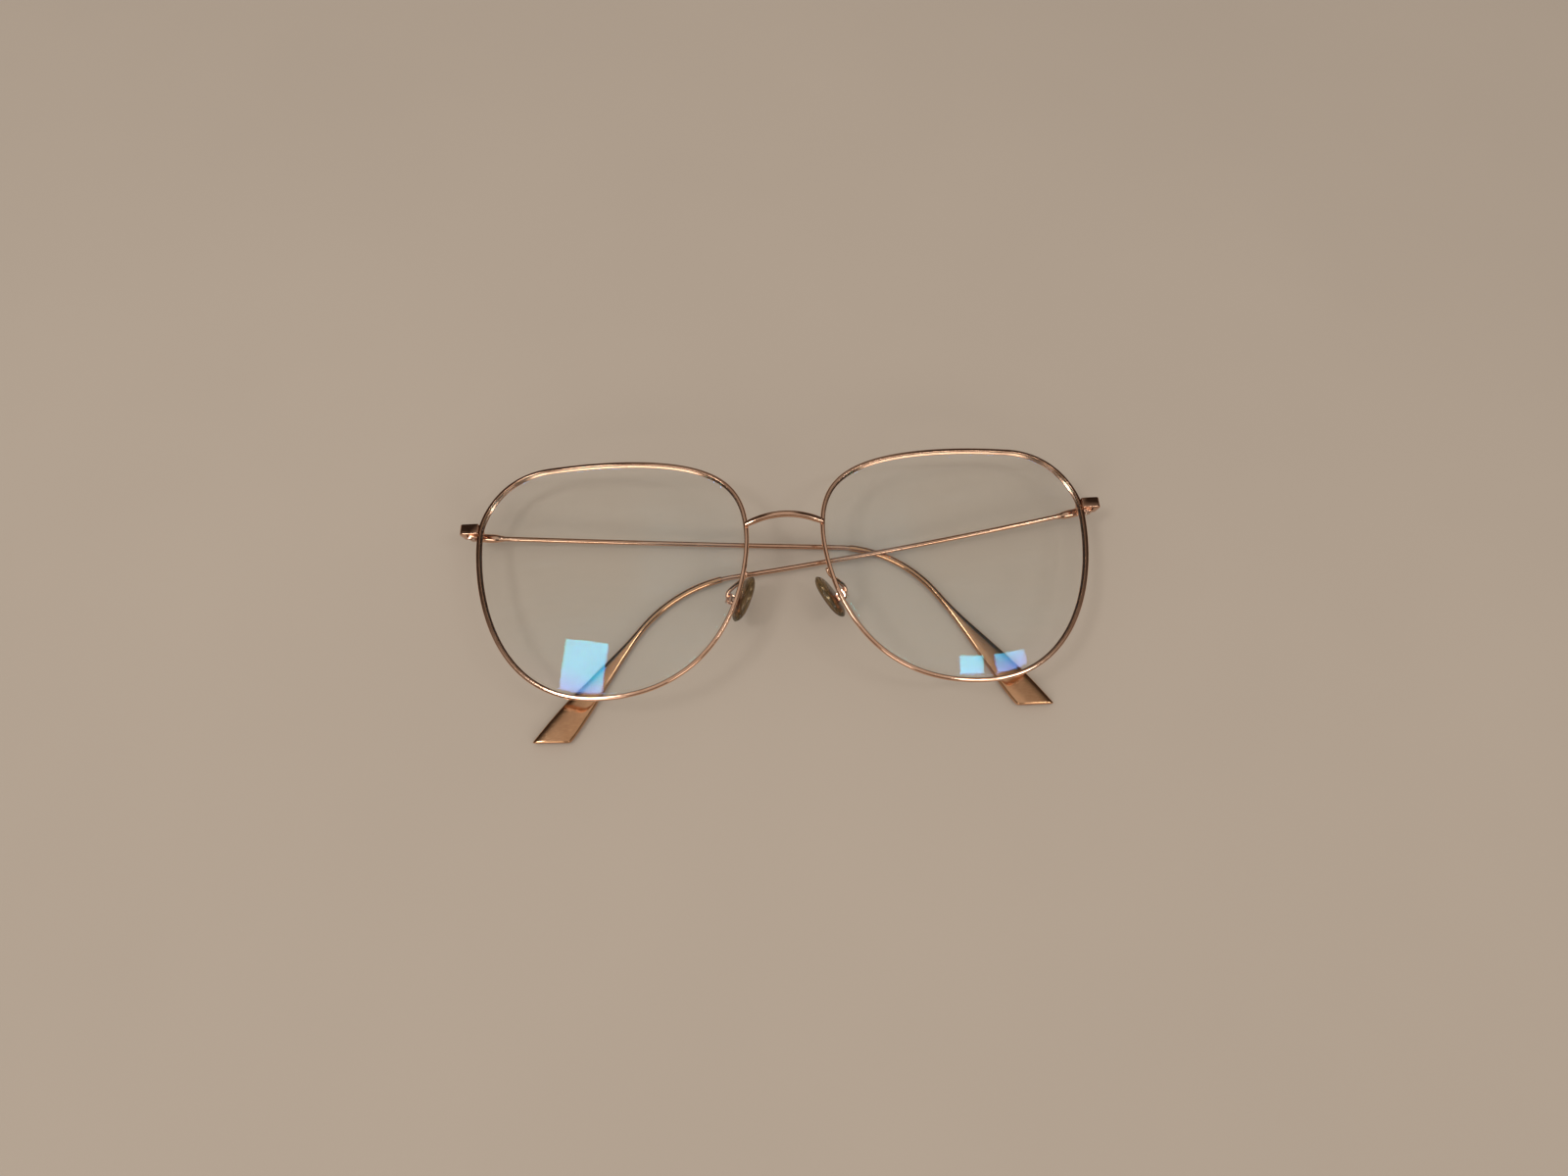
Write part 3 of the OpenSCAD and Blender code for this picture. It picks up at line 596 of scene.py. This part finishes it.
# Painted shade: the end pieces take a darker copy of the frame's rose gold, for the dark room their flat plates
# mirror
END_GOLD_SHADED = metal("rose_gold_end_shaded", (0.50, 0.27, 0.17), (0.68, 0.42, 0.29), (0.02, 0.08), 0.05)
SCREW_GOLD = metal("screw_turned", (0.46, 0.30, 0.22), (0.66, 0.47, 0.36), (0.18, 0.34), 0.3, 0.8)
COPPER = metal("pad_copper", (0.45, 0.18, 0.10), (0.66, 0.32, 0.20), (0.2, 0.4), 0.2, 0.3)
LENS = lens_material()
PAD = pad_material()
SLOT_OF = {"frame_metal": GOLD, "tip_metal": BLADE_GOLD, "screw": SCREW_GOLD, "pad_metal": COPPER,
           "lens": LENS, "pad": PAD}


def dress(obj, slot, own=None):
    """Gives a piece its slot's material, or its own one."""
    obj.data.materials.clear()
    obj.data.materials.append(own or SLOT_OF[slot])


# ---------------------------------------------------------------- the pieces
def place(obj, body, slot, *nodes):
    """Dresses a new piece and rides it on its body in place of the CAD nodes."""
    dress(obj, slot)
    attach(obj, body)
    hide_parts(*nodes)


place(build_bridge(), "front", "frame_metal", "bridge")
for side in SIDES:
    place(build_rim(side), "front", "frame_metal", side + "_rim")
    place(build_lens(side), "front", "lens", side + "_lens")
    temple = Temple(side)
    place(build_temple_wire(temple), side + "_temple", "frame_metal", side + "_temple_wire")
    place(build_temple_tip(temple), side + "_temple", "tip_metal", side + "_temple_tip")
    place(build_pad(side), side + "_pad", "pad", side + "_nose_pad")

# The turned, milled and pressed pieces are shown as they are, with their sharp edges broken
EDGE_MM = {"end_piece": 0.1, "hinge_front": 0.07, "hinge_rear": 0.07, "hinge_screw": 0.04,
           "rim_lock_upper": 0.07, "rim_lock_lower": 0.07, "rim_lock_screw": 0.04,
           "temple_butt": 0.06, "pad_box": 0.07, "pad_screw": 0.03, "pad_insert": 0.04,
           "pad_arm": 0.0}
slots = {row["node"]: row["material_slot"] for row in frame["record"]["subparts"]}
for node, obj in frame["nodes"].items():
    if obj.hide_render:
        continue
    for polygon in obj.data.polygons:
        polygon.use_smooth = True
    # The end pieces get the darker copy of the rose gold, a painted shade
    dress(obj, slots[node], END_GOLD_SHADED if node.endswith("end_piece") else None)
    weld = obj.modifiers.new("weld", "WELD")
    weld.merge_threshold = 2e-6
    width = EDGE_MM[node.split("_", 1)[1]]
    if width:
        bevel = obj.modifiers.new("edges", "BEVEL")
        bevel.width = width * MM
        bevel.segments = 3
        bevel.limit_method = "ANGLE"
        bevel.angle_limit = math.radians(40)
        bevel.harden_normals = True

# ---------------------------------------------------------------- floor, light, camera
FLOOR_HALF, FLOOR_Z = 3000, -0.03   # millimetres; the floor lies just clear of the tips
floor = link("floor", [(x * FLOOR_HALF, y * FLOOR_HALF, FLOOR_Z)
                       for x, y in ((-1, -1), (1, -1), (1, 1), (-1, 1))], [(0, 1, 2, 3)])
floor.data.materials.append(floor_material())
# It stays under the tips, so that a temple that opens doesn't pass through it
drop = floor.driver_add("location", 2).driver
drop.type = "MIN"
for side in SIDES:
    temple = Temple(side)
    mark = bpy.data.objects.new(side + "_tip_mark", None)
    bpy.context.scene.collection.objects.link(mark)
    end = temple.point(temple.length)
    mark.location = Vector((end.x if side == "left" else -end.x, end.y, 0)) * MM
    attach(mark, side + "_temple")
    height = drop.variables.new()
    height.type = "TRANSFORMS"
    height.targets[0].id = mark
    height.targets[0].transform_type = "LOC_Z"
    height.targets[0].transform_space = "WORLD_SPACE"


def soft_box(name, at, turn, width, height, power, colour=(1.0, 0.97, 0.93)):
    """Rectangular light in metres and watts, turned by degrees or, without a turn, aimed at
    the origin."""
    data = bpy.data.lights.new(name, "AREA")
    data.shape = "RECTANGLE"
    data.size, data.size_y = width, height
    data.energy = power
    data.color = colour
    obj = bpy.data.objects.new(name, data)
    bpy.context.scene.collection.objects.link(obj)
    obj.location = at
    if turn:
        obj.rotation_euler = [math.radians(angle) for angle in turn]
    else:
        obj.rotation_euler = (-Vector(at)).to_track_quat("-Z", "Y").to_euler()
    return obj


# Three small windows that the lenses mirror towards the camera
COOL = (0.93, 0.97, 1.0)
soft_box("window_a", (-0.2876, -0.0464, 0.4982), (9.0, -25.6, -13.2), 0.111, 0.126, 0.66, COOL)
soft_box("window_b", (0.2547, -0.0940, 0.5112), (8.3, 23.5, 1.5), 0.061, 0.051, 0.155, COOL)
soft_box("window_c", (0.3476, -0.0802, 0.4654), (14.1, 31.6, 14.4), 0.081, 0.049, 0.17, COOL)
# Two low windows before the front, and a soft overhead that nothing mirrors
soft_box("front_window_a", (-0.42, -0.85, 0.52), None, 0.42, 0.30, 1.8)
soft_box("front_window_b", (0.46, -0.85, 0.50), None, 0.42, 0.30, 1.6)
soft_box("overhead", (-0.2, 0.1, 1.1), None, 0.9, 0.9, 2.2).visible_glossy = False

# Metal mirrors a room that darkens towards the horizon and the far corners; all else is lit
# evenly
MIRRORED_FLOOR, MIRRORED_WALL = (0.07, 0.055, 0.045), (0.36, 0.33, 0.30)
MIRRORED_CEILING, EVEN_LIGHT = (0.95, 0.91, 0.87), (1.45, 1.40, 1.34)
world = bpy.data.worlds.new("studio")
bpy.context.scene.world = world
world.use_nodes = True
sky = Nodes(world.node_tree)
way = sky.add("TexCoord").outputs["Generated"]
parts = sky.add("SeparateXYZ", {0: way}).outputs
aside = sky.grey(sky.math("ABSOLUTE", parts["X"]), 0.0, 1.0, 0.16, 0.32)
far_side = sky.math("MULTIPLY", sky.grey(parts["Y"], 0.0, 1.0, 0.10, 0.34), aside)
ceiling = sky.math("MULTIPLY", sky.grey(parts["Z"], 0.0, 1.0, 0.40, 0.92),
                   sky.math("SUBTRACT", 1.0, far_side))
ceiling = sky.math("MULTIPLY", ceiling, sky.grey(parts["Y"], 1.0, 0.4, 0.45, 0.8))
mirrored = sky.ramp(ceiling, (0.0, MIRRORED_FLOOR), (0.5, MIRRORED_WALL),
                    (1.0, MIRRORED_CEILING))
seen = sky.mix(sky.add("LightPath").outputs["Is Glossy Ray"], EVEN_LIGHT, mirrored)
sky.out(sky.add("Background", {"Color": seen, "Strength": 0.55}).outputs[0], "OutputWorld")
bpy.context.scene.view_settings.view_transform = "Standard"

# The camera stands over the front, a little below and left of its middle
CAMERA_AT = (-0.005056, -0.054023, 0.168593)
CAMERA_ROLL, CAMERA_TILT, CAMERA_PAN = (math.radians(a) for a in (3.1334, -18.5932, 1.5704))
turn = (Matrix.Rotation(CAMERA_ROLL, 3, "Z") @ Matrix.Rotation(CAMERA_TILT, 3, "X")
        @ Matrix.Rotation(CAMERA_PAN, 3, "Y"))
camera = bpy.data.objects.new("camera", bpy.data.cameras.new("camera"))
bpy.context.scene.collection.objects.link(camera)
camera.matrix_world = Matrix.Translation(CAMERA_AT) @ turn.transposed().to_4x4()
camera.data.lens = 18.0
camera.data.sensor_width = 36.0
camera.data.clip_start = 0.005
bpy.context.scene.camera = camera
